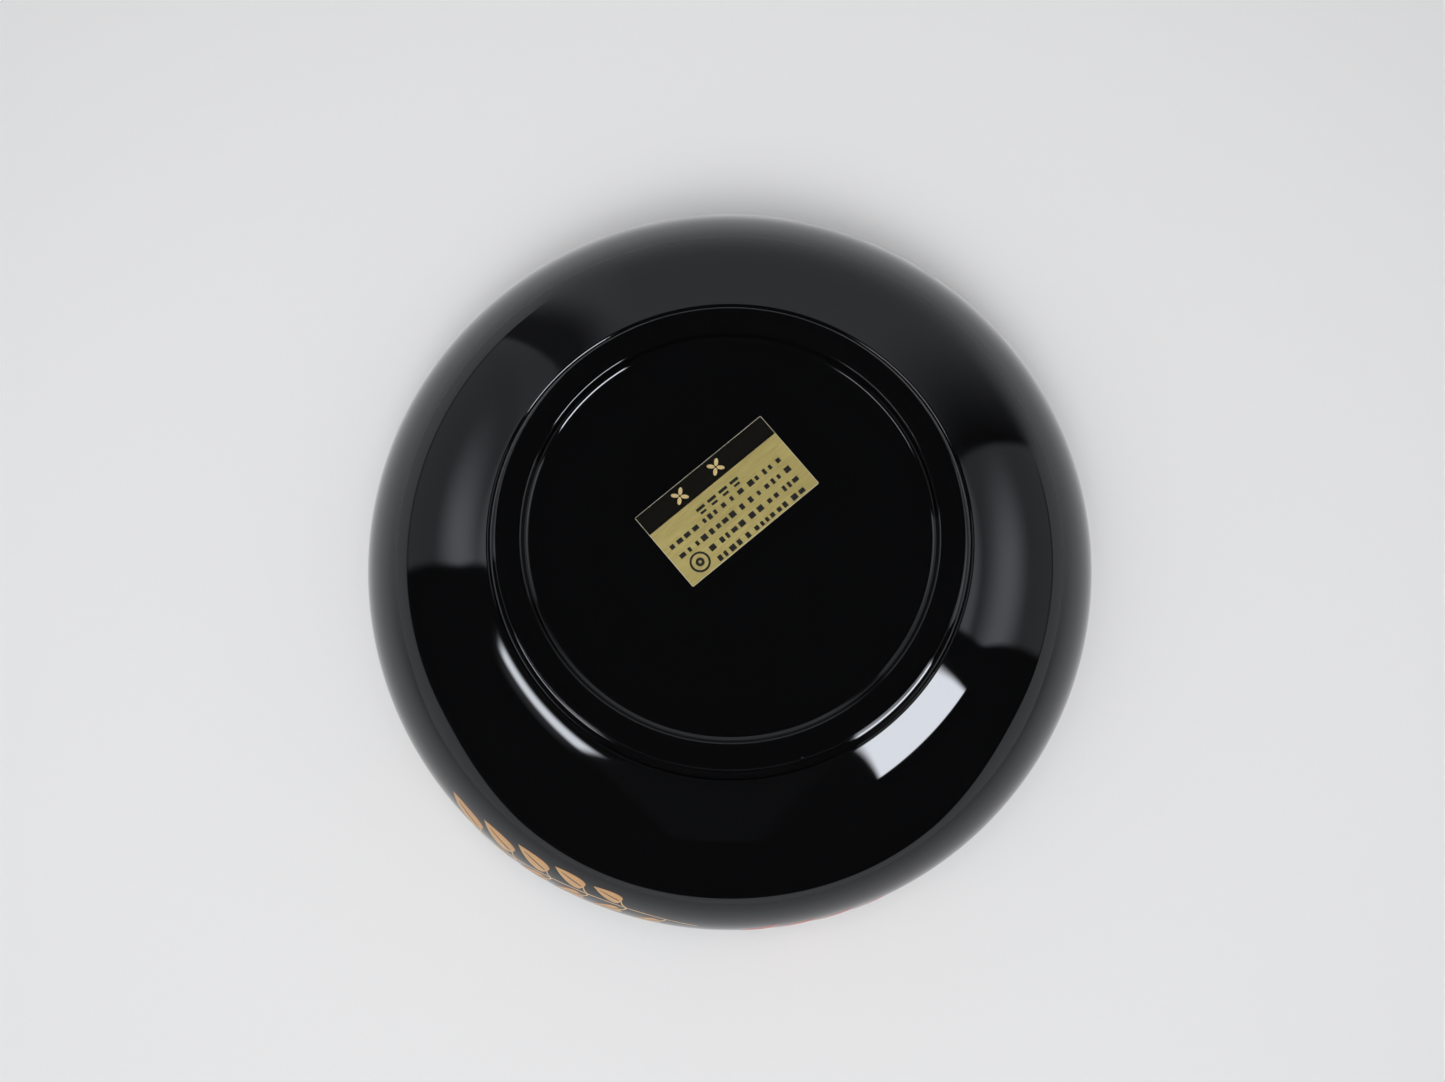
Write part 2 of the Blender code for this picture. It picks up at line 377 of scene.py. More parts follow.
def finishPiece(name, shape, material, nodes, sharp=math.radians(40)):
    mesh = bpy.data.meshes.new(name)
    shape.to_mesh(mesh)
    shape.free()
    mesh.shade_smooth()
    mesh.set_sharp_from_angle(angle=sharp)
    mesh.materials.append(material)
    piece = bpy.data.objects.new(name, mesh)
    bpy.context.scene.collection.objects.link(piece)
    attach(piece, "root")
    if nodes:
        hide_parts(*nodes)
    return piece


def thicken(piece, thickness):
    # the film goes down into the wood from the finished surface
    solid = piece.modifiers.new("film", "SOLIDIFY")
    solid.thickness = thickness
    solid.offset = -1
    solid.use_even_offset = True
    solid.use_rim = True
    return solid


def makeBody():
    shape = bmesh.new()
    footProfile(shape)
    turnRound(shape)
    footBlack = makeLacquer("footBlack", 0.5)
    footPiece = finishPiece("footLacquer", shape, footBlack, ["foot_lacquer"])
    thicken(footPiece, wall["film"])

    shape = bmesh.new()
    outsideProfile(shape, beginAt(shape, bellyStart, foot["height"]))
    turnRound(shape)
    outerBlack = makeLacquer("outerBlack")
    outside = finishPiece("outerLacquer", shape, outerBlack, ["outer_lacquer"])
    thicken(outside, wall["film"])

    shape = bmesh.new()
    top = beginAt(shape, centres["lip"][0], centres["lip"][1] + wall["thickness"] / 2)
    insideProfile(shape, top)
    turnRound(shape, 1)
    innerBlack = makeLacquer("innerBlack")
    inside = finishPiece("innerLacquer", shape, innerBlack, ["inner_lacquer"])
    thicken(inside, wall["film"])

    shape = bmesh.new()
    last = footProfile(shape)
    last = outsideProfile(shape, last)
    insideProfile(shape, last)
    turnRound(shape)
    for corner in shape.verts:
        corner.co -= corner.normal * (wall["film"] + wall["coreGap"])
    finishPiece("woodCore", shape, makeWood(), ["wood_core"])
    print("body: foot, outside, inside and core turned")


def onSide(angle, rise, height):
    # a point over the side wall: angle round the bowl, rise up the wall from the widest ring
    radius = wall["rimArc"] if rise > 0 else wall["shoulderArc"]
    lean = rise / radius
    out = bowlRadius - radius + (radius + height) * math.cos(lean)
    up = widestHeight + (radius + height) * math.sin(lean)
    return out * math.cos(angle), out * math.sin(angle), up


paint = {
    "sunk": 0.03 * mm,  # how far a patch's underside sits in the lacquer
    "edge": 0.02 * mm,
    "crown": 0.07 * mm,
    "stemWidth": 0.75 * mm,
    "stalkWidth": 0.5 * mm,
    "stalkBow": 0.12,  # against its length
    "bluntness": 0.3,  # lower is blunter at a leaf's base
    "taper": 0.95,  # towards its tip
    "fullness": 0.996,  # which makes the widest place as wide as asked
    "merge": 0.001 * mm,
    "leafSharp": math.radians(50),
}

gold = {
    "start": math.radians(-85),
    "end": math.radians(-39.5),
    "lowest": math.radians(-70),
    "lowestRise": -13.7 * mm,
    "curve": 0.0235 * mm / math.radians(1) ** 2,
    "firstNode": math.radians(-79.2),
    "nodeStep": math.radians(6.25),
    "pairs": 6,
    "leaf": 9.2 * mm,  # length of the first pair
    "growth": 1.35 * mm,
    "lowWidth": 0.58,  # against the length
    "highWidth": 0.56,
    "lowHeading": (math.radians(-17), math.radians(-2)),  # of the first pair, and its change with each pair
    "highHeading": (math.radians(22), math.radians(5)),
    "stalk": 3.6 * mm,
    "stalkGrowth": 0.12 * mm,
    "stalkLead": math.radians(-0.9),
    "tip": (15 * mm, 6.6 * mm),
    "tipHeading": math.radians(25),
    "tipStep": (math.radians(0.2), 0.4 * mm),
    "colour": (0.66, 0.385, 0.155),
    "light": (0.86, 0.62, 0.36),
    "outline": (0.42, 0.15, 0.06),
    "vein": (0.075, 0.03, 0.012),
}

red = {
    "start": math.radians(-88),
    "end": math.radians(-116),
    "startRise": 3.5 * mm,
    "curve": 0.006 * mm / math.radians(1) ** 2,
    "firstNode": math.radians(-92),
    "nodeStep": math.radians(-5.7),
    "pairs": 4,
    "low": (15 * mm, 5.6 * mm),
    "high": (11 * mm, 4.6 * mm),
    "lowHeading": math.radians(218),
    "highHeading": math.radians(138),
    "stalk": 2.4 * mm,
    "stalkLead": math.radians(0.7),
    "tip": (12 * mm, 5 * mm),
    "tipHeading": math.radians(170),
    "tipStep": (math.radians(-0.2), 0.0),
    "colour": (0.60, 0.085, 0.065),
    "light": (0.74, 0.28, 0.20),
    "outline": (0.30, 0.02, 0.02),
    "vein": (0.28, 0.03, 0.03),
}


def goldRise(angle):
    return gold["lowestRise"] + gold["curve"] * (angle - gold["lowest"]) ** 2


def redRise(angle):
    return red["startRise"] + red["curve"] * (angle - red["start"]) ** 2


def addPatch(shape, stations, lanes, halfWidth, place, crown):
    # a strip of paint: its grid is shaped flat, given a thickness and then laid on the side
    uv = shape.loops.layers.uv.verify()
    grid = bmesh.ops.create_grid(shape, x_segments=stations, y_segments=lanes, size=0.5)
    corners = set(grid["verts"])
    for corner in corners:
        corner.co.x += 0.5
        corner.co.y *= 2
    faces = {face for corner in corners for face in corner.link_faces}
    for face in faces:
        for loop in face.loops:
            loop[uv].uv = (loop.vert.co.x, 0.5 + loop.vert.co.y / 2)
    heights = {}
    raised = bmesh.ops.extrude_face_region(shape, geom=list(faces))
    tops = {part for part in raised["geom"] if isinstance(part, bmesh.types.BMVert)}
    for corner in corners:
        heights[corner] = -paint["sunk"]
    for corner in tops:
        along, across = corner.co.x, corner.co.y
        fade = min(1, 6 * (1 - along), 6 * along + 0.2)
        heights[corner] = paint["edge"] + crown * (1 - across * across) * fade
    for corner, height in heights.items():
        angle, rise = place(corner.co.x, corner.co.y * halfWidth(corner.co.x))
        corner.co = onSide(angle, rise, height)


def addLeaf(shape, base, heading, length, width):
    def halfWidth(along):
        swell = max(along, 0) ** paint["bluntness"]
        return paint["fullness"] * width * swell * max(1 - along, 0) ** paint["taper"]

    def place(along, across):
        ahead = along * length
        roundBowl = ahead * math.cos(heading) - across * math.sin(heading)
        upWall = ahead * math.sin(heading) + across * math.cos(heading)
        return base[0] + roundBowl / bowlRadius, base[1] + upWall

    addPatch(shape, 28, 8, halfWidth, place, paint["crown"])


def addStem(shape, start, end, riseAt):
    def halfWidth(along):
        return paint["stemWidth"] / 2 * (0.45 + 0.55 * along)

    def place(along, across):
        angle = start + (end - start) * along
        return angle, riseAt(angle) + across

    addPatch(shape, 120, 2, halfWidth, place, paint["crown"] / 2)


def addStalk(shape, start, end):
    # a short stalk, as a gentle bow from the stem to a leaf's base
    def halfWidth(along):
        return paint["stalkWidth"] / 2 * (1.2 - 0.4 * along)

    run = (end[0] - start[0]) * bowlRadius
    climb = end[1] - start[1]
    length = math.hypot(run, climb)

    def place(along, across):
        bow = paint["stalkBow"] * length * math.sin(math.pi * along)
        roundBowl = run * along - (across + bow) * climb / length
        upWall = climb * along + (across + bow) * run / length
        return start[0] + roundBowl / bowlRadius, start[1] + upWall

    addPatch(shape, 10, 2, halfWidth, place, paint["crown"] / 2)


def makePaint(name, look, metallic, roughness):
    # hatched leaf paint: fine strokes off a dark midrib, a darker edge and a pale one
    material, tree, shader = newMaterial(name)
    uv = tree.nodes.new("ShaderNodeUVMap").outputs["UV"]
    split = tree.nodes.new("ShaderNodeSeparateXYZ")
    tree.links.new(uv, split.inputs[0])
    along, across = split.outputs["X"], split.outputs["Y"]
    side = addMath(tree, "SUBTRACT", across, 0.5)
    away = addMath(tree, "ABSOLUTE", side)
    # strokes lean forward from the midrib
    stroke = addMath(tree, "MULTIPLY_ADD", away, -0.42, along)
    wave = addMath(tree, "SINE", addMath(tree, "MULTIPLY", stroke, 190))
    hatch = addRamp(tree, wave, -0.2, 0.9, 0.0, 0.55)
    body = addMix(tree, hatch, look["colour"], look["light"])
    speck = addRamp(tree, addNoise(tree, objectCoordinates(tree), 2600, 2), 0.35, 0.75, 0.0, 0.35)
    body = addMix(tree, speck, body, look["outline"])
    # dark midrib, from near the base to three quarters of the way
    rib = addRamp(tree, away, 0.036, 0.06, 1.0, 0.0)
    rib = addMath(tree, "MULTIPLY", rib, addRamp(tree, along, 0.06, 0.1))
    rib = addMath(tree, "MULTIPLY", rib, addRamp(tree, along, 0.72, 0.82, 1.0, 0.0))
    body = addMix(tree, rib, body, look["vein"])
    darkEdge = addRamp(tree, side, -0.47, -0.43, 0.9, 0.0)
    body = addMix(tree, darkEdge, body, look["outline"])
    paleEdge = addRamp(tree, side, 0.44, 0.47, 0.0, 0.8)
    body = addMix(tree, paleEdge, body, look["light"])
    tree.links.new(body, shader.inputs["Base Color"])
    socket(shader, "Metallic", metallic)
    socket(shader, "Roughness", roughness)
    addBump(tree, shader, wave, 0.25, 0.02 * mm)
    return material


def makeStemPaint(name, look, metallic, roughness):
    material, tree, shader = newMaterial(name)
    grains = addRamp(tree, addNoise(tree, objectCoordinates(tree), 2200, 2), 0.35, 0.7, 0.0, 0.6)
    tree.links.new(addMix(tree, grains, look["light"], look["colour"]), shader.inputs["Base Color"])
    socket(shader, "Metallic", metallic)
    socket(shader, "Roughness", roughness)
    return material


def finishLeaf(name, node, base, heading, size, material):
    shape = bmesh.new()
    addLeaf(shape, base, heading, *size)
    bmesh.ops.remove_doubles(shape, verts=shape.verts, dist=paint["merge"])
    bmesh.ops.recalc_face_normals(shape, faces=shape.faces)
    finishPiece(name, shape, material, [node], paint["leafSharp"])


def finishStems(name, node, shape, material):
    bmesh.ops.recalc_face_normals(shape, faces=shape.faces)
    finishPiece(name, shape, material, [node])


def makeGoldSpray():
    leafPaint = makePaint("goldLeafPaint", gold, 0.25, 0.38)
    stems = bmesh.new()
    addStem(stems, gold["start"], gold["end"], goldRise)
    for i in range(gold["pairs"]):
        node = gold["firstNode"] + gold["nodeStep"] * i
        root = (node + gold["stalkLead"], goldRise(node + gold["stalkLead"]))
        length = gold["leaf"] + gold["growth"] * i
        below = (node, goldRise(node) - gold["stalk"] - gold["stalkGrowth"] * max(0, i - 2) ** 3)
        above = (node, goldRise(node) + gold["stalk"])
        if i > 0:
            addStalk(stems, root, below)
            droop = gold["lowHeading"][0] + gold["lowHeading"][1] * i
            size = (length, gold["lowWidth"] * length)
            finishLeaf(f"goldLeafLow{i}", f"gold_leaf_low_{i}", below, droop, size, leafPaint)
        addStalk(stems, root, above)
        lift = gold["highHeading"][0] + gold["highHeading"][1] * i
        size = (length, gold["highWidth"] * length)
        name, replaced = f"goldLeafHigh{i + 1}", f"gold_leaf_high_{i + 1}"
        finishLeaf(name, replaced, above, lift, size, leafPaint)
    tip = (gold["end"] + gold["tipStep"][0], goldRise(gold["end"]) + gold["tipStep"][1])
    finishLeaf("goldLeafTip", "gold_leaf_tip", tip, gold["tipHeading"], gold["tip"], leafPaint)
    finishStems("goldStem", "gold_stem", stems, makeStemPaint("goldStemPaint", gold, 0.3, 0.35))
    print("gold spray laid on the side")


def makeRedSpray():
    leafPaint = makePaint("redLeafPaint", red, 0.0, 0.3)
    stems = bmesh.new()
    addStem(stems, red["start"], red["end"], redRise)
    for i in range(red["pairs"]):
        node = red["firstNode"] + red["nodeStep"] * i
        root = (node + red["stalkLead"], redRise(node + red["stalkLead"]))
        below = (node, redRise(node) - red["stalk"])
        above = (node, redRise(node) + red["stalk"])
        addStalk(stems, root, below)
        name, replaced = f"redLeafLow{i + 1}", f"red_leaf_low_{i + 1}"
        finishLeaf(name, replaced, below, red["lowHeading"], red["low"], leafPaint)
        if i < red["pairs"] - 1:
            addStalk(stems, root, above)
            name, replaced = f"redLeafHigh{i + 1}", f"red_leaf_high_{i + 1}"
            finishLeaf(name, replaced, above, red["highHeading"], red["high"], leafPaint)
    tip = (red["end"] + red["tipStep"][0], redRise(red["end"]) + red["tipStep"][1])
    finishLeaf("redLeafTip", "red_leaf_tip", tip, red["tipHeading"], red["tip"], leafPaint)
    finishStems("redStem", "red_stem", stems, makeStemPaint("redStemPaint", red, 0.0, 0.3))
    print("red spray laid on the side")


sticker = {
    "length": 51.0 * mm,
    "width": 28.2 * mm,
    "band": 7.2 * mm,
    "centre": (1.0 * mm, 10.8 * mm),
    "angle": math.radians(140),
    "corner": 0.3 * mm,
    "margin": 0.1 * mm,  # of paper round the foil
    "seam": 0.02 * mm,  # between the foil and the band
    "paper": 0.10 * mm,
    "foil": 0.04 * mm,
    "ink": 0.015 * mm,
}

# print and marks, in millimetres on the label
inkMarks = {
    "seed": 7,
    "indents": (2.4, 2.9, 11.6, 11.6),  # where each row starts
    "firstRow": 7.3,  # below the band
    "rowStep": 4.05,
    "rightMargin": 5.5,
    "long": (1.1, 1.5, 2.1),
    "tall": (1.5, 1.9),
    "gaps": (0.9, 1.2, 2.0),
    "headings": (-9.4, -4.9, -0.4, 4.1),  # where each of the two-line bars starts
    "headingLines": ((0.0, 3.4, 3.2, 1.0), (0.5, 4.9, 2.2, 0.8)),  # shift, row, length and height
    "mark": (6.7, 4.6),  # in from the corner
    "rings": ((3.3, 2.6), (1.4, 0.5)),  # outer and inner radius
    "petalMarks": (-10.3, 4.2),
    "petalRadius": 1.25,
    "petalSlim": 0.5,
    "petalOut": 1.55,
    "petals": 4,
}


def addPlate(shape, low, high, top, thickness, cornerCut=0.0):
    # a thin plate in the label's own directions: x along it, y across it, hanging below a height
    made = bmesh.ops.create_cube(shape, size=1)["verts"]
    size = Vector((high[0] - low[0], high[1] - low[1], thickness))
    middle = Vector(((high[0] + low[0]) / 2, (high[1] + low[1]) / 2, top - thickness / 2))
    bmesh.ops.scale(shape, vec=size, verts=made)
    bmesh.ops.translate(shape, vec=middle, verts=made)
    if cornerCut:
        upright = [
            edge
            for edge in {edge for corner in made for edge in corner.link_edges}
            if abs(edge.verts[0].co.z - edge.verts[1].co.z) > thickness / 2
        ]
        bmesh.ops.bevel(
            shape,
            geom=upright,
            offset=cornerCut,
            affect="EDGES",
            segments=3,
            profile=0.5,
            material=-1,
        )


def layLabel(shape):
    # turns and moves what was drawn flat onto the recess floor
    turn = Matrix.Rotation(sticker["angle"], 3, "Z")
    bmesh.ops.rotate(shape, cent=(0, 0, 0), matrix=turn, verts=shape.verts)
    bmesh.ops.translate(shape, vec=(*sticker["centre"], 0), verts=shape.verts)
    bmesh.ops.recalc_face_normals(shape, faces=shape.faces)


foilLook = {
    "brushing": (0.03, 1, 1),  # the marks run along the label
    "streaks": 4200,
    "clouds": 60,
    "dark": (0.31, 0.25, 0.08),
    "light": (0.47, 0.39, 0.145),
    "cloud": (0.25, 0.20, 0.06),
    "metallic": 0.55,
    "roughness": (0.38, 0.52),
    "depth": 0.01 * mm,
}


def makeFoil():
    material, tree, shader = newMaterial("brushedGoldFoil")
    look = foilLook
    turned = tree.nodes.new("ShaderNodeMapping")
    turned.inputs["Rotation"].default_value = (0, 0, -sticker["angle"])
    tree.links.new(objectCoordinates(tree), turned.inputs["Vector"])
    squash = tree.nodes.new("ShaderNodeMapping")
    squash.inputs["Scale"].default_value = look["brushing"]
    tree.links.new(turned.outputs["Vector"], squash.inputs["Vector"])
    streak = addNoise(tree, squash.outputs["Vector"], look["streaks"], 3, 0.7)
    broad = addNoise(tree, turned.outputs["Vector"], look["clouds"], 2)
    tone = addMix(tree, addRamp(tree, streak, 0.3, 0.7), look["dark"], look["light"])
    tone = addMix(tree, addRamp(tree, broad, 0.35, 0.7, 0, 0.3), tone, look["cloud"])
    tree.links.new(tone, shader.inputs["Base Color"])
    socket(shader, "Metallic", look["metallic"])
    tree.links.new(addRamp(tree, streak, 0.3, 0.7, *look["roughness"]), shader.inputs["Roughness"])
    addBump(tree, shader, streak, 0.3, look["depth"])
    return material


def makePlain(name, colour, roughness, grain=0.15):
    material, tree, shader = newMaterial(name)
    mottle = addNoise(tree, objectCoordinates(tree), 1500, 3)
    darker = tuple(part * (1 - grain) for part in colour)
    tone = addMix(tree, addRamp(tree, mottle, 0.35, 0.7), colour, darker)
    tree.links.new(tone, shader.inputs["Base Color"])
    socket(shader, "Roughness", roughness)
    return material


def thickenDown(shape, faces, thickness):
    # the faces' copy goes down, towards the paper
    down = bmesh.ops.extrude_face_region(shape, geom=faces)
    lower = [part for part in down["geom"] if isinstance(part, bmesh.types.BMVert)]
    bmesh.ops.translate(shape, vec=(0, 0, -thickness), verts=lower)


def addRing(shape, centre, outer, inner, top, thickness):
    # a flat printed ring: a circle drawn out to a wider one, then given its thickness
    circle = bmesh.ops.create_circle(shape, segments=48, radius=inner)["verts"]
    edges = list({edge for corner in circle for edge in corner.link_edges})
    grown = bmesh.ops.extrude_edge_only(shape, edges=edges)["geom"]
    wider = [part for part in grown if isinstance(part, bmesh.types.BMVert)]
    bmesh.ops.scale(shape, vec=(outer / inner, outer / inner, 1), verts=wider)
    bmesh.ops.translate(shape, vec=(centre[0], centre[1], top), verts=circle + wider)
    thickenDown(shape, list({face for corner in wider for face in corner.link_faces}), thickness)


def addPetal(shape, x, y, turn, top):
    radius = inkMarks["petalRadius"] * mm
    made = bmesh.ops.create_circle(shape, cap_ends=True, segments=20, radius=radius)["verts"]
    bmesh.ops.scale(shape, vec=(1, inkMarks["petalSlim"], 1), verts=made)
    bmesh.ops.translate(shape, vec=(inkMarks["petalOut"] * mm, 0, 0), verts=made)
    bmesh.ops.rotate(shape, cent=(0, 0, 0), matrix=Matrix.Rotation(turn, 3, "Z"), verts=made)
    bmesh.ops.translate(shape, vec=(x, y, top), verts=made)
    thickenDown(shape, list({face for corner in made for face in corner.link_faces}), sticker["ink"])


def makeLabel():
    half = (sticker["length"] / 2, sticker["width"] / 2)
    inner = (half[0] - sticker["margin"], half[1] - sticker["margin"])
    seam = -half[1] + sticker["band"]
    floorHeight = foot["recessDepth"]
    foilTop = floorHeight - sticker["paper"]
    inkTop = foilTop - sticker["foil"]

    shape = bmesh.new()
    addPlate(shape, (-half[0], -half[1]), half, floorHeight, sticker["paper"], sticker["corner"])
    layLabel(shape)
    paper = makePlain("labelPaper", (0.78, 0.74, 0.56), 0.5)
    finishPiece("labelBacking", shape, paper, ["label_backing"])

    shape = bmesh.new()
    addPlate(shape, (-inner[0], seam), inner, foilTop, sticker["foil"])
    layLabel(shape)
    finishPiece("labelFoil", shape, makeFoil(), ["label_foil"])

    shape = bmesh.new()
    addPlate(shape, (-inner[0], -inner[1]), (inner[0], seam - sticker["seam"]), foilTop, sticker["foil"])
    layLabel(shape)
    black = makePlain("bandBlack", (0.008, 0.0075, 0.006), 0.07)
    finishPiece("labelBand", shape, black, ["label_band"])

    # plain bars in rows stand in for print, and a ring for the round mark
    shape = bmesh.new()
    pick = random.Random(inkMarks["seed"])
    bars = []
    for row, indent in enumerate(inkMarks["indents"]):
        middle = seam + (inkMarks["firstRow"] + inkMarks["rowStep"] * row) * mm
        x = -half[0] + indent * mm
        while x < half[0] - inkMarks["rightMargin"] * mm:
            long = pick.choice(inkMarks["long"]) * mm
            bars.append((x, middle, long, pick.choice(inkMarks["tall"]) * mm))
            x += long + pick.choice(inkMarks["gaps"]) * mm
    for x in inkMarks["headings"]:
        for shift, row, long, tall in inkMarks["headingLines"]:
            bars.append(((x + shift) * mm, seam + row * mm, long * mm, tall * mm))
    for x, y, long, tall in bars:
        addPlate(shape, (x, y - tall / 2), (x + long, y + tall / 2), inkTop, sticker["ink"])
    mark = (-half[0] + inkMarks["mark"][0] * mm, half[1] - inkMarks["mark"][1] * mm)
    for outer, hole in inkMarks["rings"]:
        addRing(shape, mark, outer * mm, hole * mm, inkTop, sticker["ink"])
    layLabel(shape)
    finishPiece("labelPrint", shape, makePlain("printInk", (0.012, 0.011, 0.009), 0.25), [])

    # two plain petalled marks head the band
    shape = bmesh.new()
    for x in inkMarks["petalMarks"]:
        for petal in range(inkMarks["petals"]):
            turn = 2 * math.pi * (petal + 0.5) / inkMarks["petals"]
            addPetal(shape, x * mm, -half[1] + sticker["band"] / 2, turn, inkTop)
    layLabel(shape)
    finishPiece("labelHeading", shape, makePlain("headingGold", (0.62, 0.47, 0.20), 0.35), [])
    print("label laid in the recess")


studio = {
    "tableGap": 0.2 * mm,
    "tableSize": 3.0,
    "tableRings": (0.16, 0.3, 0.6),
    "mouthHole": centres["lip"][0],
    "tableColour": (0.83, 0.828, 0.832),
    "tableFront": -0.30,
    "floorSize": 6.0,
    "floorColour": (0.62, 0.62, 0.625),
    "dark": 0.02,
    "table": 0.95,
    "tableFar": 0.74,
    "keys": [
        {"azimuth": math.radians(266), "lift": math.radians(58), "focus": 45.0, "light": 10.6},
        {"azimuth": math.radians(212), "lift": math.radians(60), "focus": 20.0, "light": 1.6},
        {"azimuth": math.radians(322), "lift": math.radians(66), "focus": 20.0, "light": 0.7},
        {"azimuth": 0.0, "lift": math.radians(90), "focus": 40.0, "light": 4.2},
        # over the mouth, for the bowl seen upright
        {"azimuth": math.radians(235), "lift": math.radians(-62), "focus": 5.0, "light": 2.4},
    ],
    "fill": 0.17,
    "tint": (0.985, 0.99, 1.0, 1.0),
    "sky": 0.55,
    "cameraSky": 0.78,
    "camera": (2.4 * mm, -116.7 * mm, -567.8 * mm),
    "tilt": math.radians(11.37),
    "fieldOfView": math.radians(42),
}

# how bright the paper is over its length, its width and out from the bowl: from, to, and the level at each
sheetTone = {
    "front": (-0.2, 0.3, 1.05, 0.95),
    "side": (-0.3, 0.3, 0.975, 1.01),
    "corner": (0.17, 0.6, 1.0, 0.82),
    # a painted reflection: the sheet brighter behind the bowl and darker before it, only where the lacquer
    # mirrors it
    "paintedReflection": (-0.22, 0.25, 0.8, 1.5),
}


def oneSided(name, colour, spread):
    # a stage surface that only its front shows, so that it never hides the bowl from behind
    material = bpy.data.materials.new(name)
    material.use_nodes = True
    tree = material.node_tree
    tree.nodes.clear()
    output = tree.nodes.new("ShaderNodeOutputMaterial")
    mix = tree.nodes.new("ShaderNodeMixShader")
    diffuse = tree.nodes.new("ShaderNodeBsdfDiffuse")
    clear = tree.nodes.new("ShaderNodeBsdfTransparent")
    facing = tree.nodes.new("ShaderNodeNewGeometry").outputs["Backfacing"]
    tree.links.new(spread(tree, colour), diffuse.inputs["Color"])
    tree.links.new(facing, mix.inputs[0])
    tree.links.new(diffuse.outputs[0], mix.inputs[1])
    tree.links.new(clear.outputs[0], mix.inputs[2])
    tree.links.new(mix.outputs[0], output.inputs["Surface"])
    return material


def tableTone(tree, colour):
    # the paper is lit a little more at the front and towards +X, and falls off towards its corners
    split = tree.nodes.new("ShaderNodeSeparateXYZ")
    tree.links.new(objectCoordinates(tree), split.inputs[0])
    x, y = split.outputs["X"], split.outputs["Y"]
    front = addRamp(tree, y, *sheetTone["front"], smooth=False)
    side = addRamp(tree, x, *sheetTone["side"], smooth=False)
    squares = addMath(tree, "ADD", addMath(tree, "MULTIPLY", x, x), addMath(tree, "MULTIPLY", y, y))
    corner = addRamp(tree, addMath(tree, "SQRT", squares), *sheetTone["corner"])
    level = addMath(tree, "MULTIPLY", addMath(tree, "MULTIPLY", front, side), corner)
    # painted reflection: where the lacquer mirrors the sheet, the sheet's colour is made brighter behind the
    # bowl and darker before it
    paintedReflection = addRamp(tree, y, *sheetTone["paintedReflection"], smooth=False)
    mirrored = tree.nodes.new("ShaderNodeLightPath").outputs["Is Glossy Ray"]
    paintedReflectionLevel = addMath(tree, "MULTIPLY_ADD", addMath(tree, "SUBTRACT", paintedReflection, 1.0), mirrored, 1.0)
    level = addMath(tree, "MULTIPLY", level, paintedReflectionLevel)
    tone = tree.nodes.new("ShaderNodeVectorMath")
    tone.operation = "SCALE"
    tone.inputs[0].default_value = colour
    tree.links.new(level, tone.inputs["Scale"])
    return tone.outputs[0]


def floorTone(tree, colour):
    mottle = addRamp(tree, addNoise(tree, objectCoordinates(tree), 3, 1), 0.3, 0.7)
    return addMix(tree, mottle, colour, tuple(part * 0.985 for part in colour))


def makeStage():
    # the sheet that the upturned rim stands on, open over the mouth and seen only from the foot's side
    shape = bmesh.new()
    hole = bmesh.ops.create_circle(shape, segments=96, radius=studio["mouthHole"])["verts"]
    rim = list({edge for corner in hole for edge in corner.link_edges})
    for radius in (*studio["tableRings"], studio["tableSize"] / 2):
        grown = bmesh.ops.extrude_edge_only(shape, edges=rim)["geom"]
        outer = [part for part in grown if isinstance(part, bmesh.types.BMVert)]
        rim = [part for part in grown if isinstance(part, bmesh.types.BMEdge)]
        rim = [edge for edge in rim if edge.verts[0] in outer and edge.verts[1] in outer]
        for corner in outer:
            corner.co *= radius / corner.co.length
    bmesh.ops.bisect_plane(
        shape,
        geom=shape.verts[:] + shape.edges[:] + shape.faces[:],
        plane_co=(0, studio["tableFront"], 0),
        plane_no=(0, -1, 0),
        clear_outer=True,
    )
    bmesh.ops.translate(shape, vec=(0, 0, bowlHeight + studio["tableGap"]), verts=shape.verts)
    for face in shape.faces:
        face.normal_update()
        if face.normal.z > 0:
            face.normal_flip()
    mesh = bpy.data.meshes.new("paperSheet")
    shape.to_mesh(mesh)
    shape.free()
    sheet = bpy.data.objects.new("paperSheet", mesh)
    mesh.materials.append(oneSided("whitePaper", studio["tableColour"], tableTone))

    shape = bmesh.new()
    bmesh.ops.create_grid(shape, x_segments=1, y_segments=1, size=studio["floorSize"] / 2)
    mesh = bpy.data.meshes.new("paleFloor")
    shape.to_mesh(mesh)
    shape.free()
    floor = bpy.data.objects.new("paleFloor", mesh)
    mesh.materials.append(oneSided("paleGround", studio["floorColour"], floorTone))

    for thing in (sheet, floor):
        bpy.context.scene.collection.objects.link(thing)
        thing.visible_shadow = False
        thing.visible_diffuse = False
        thing.visible_transmission = False
    floor.visible_glossy = False


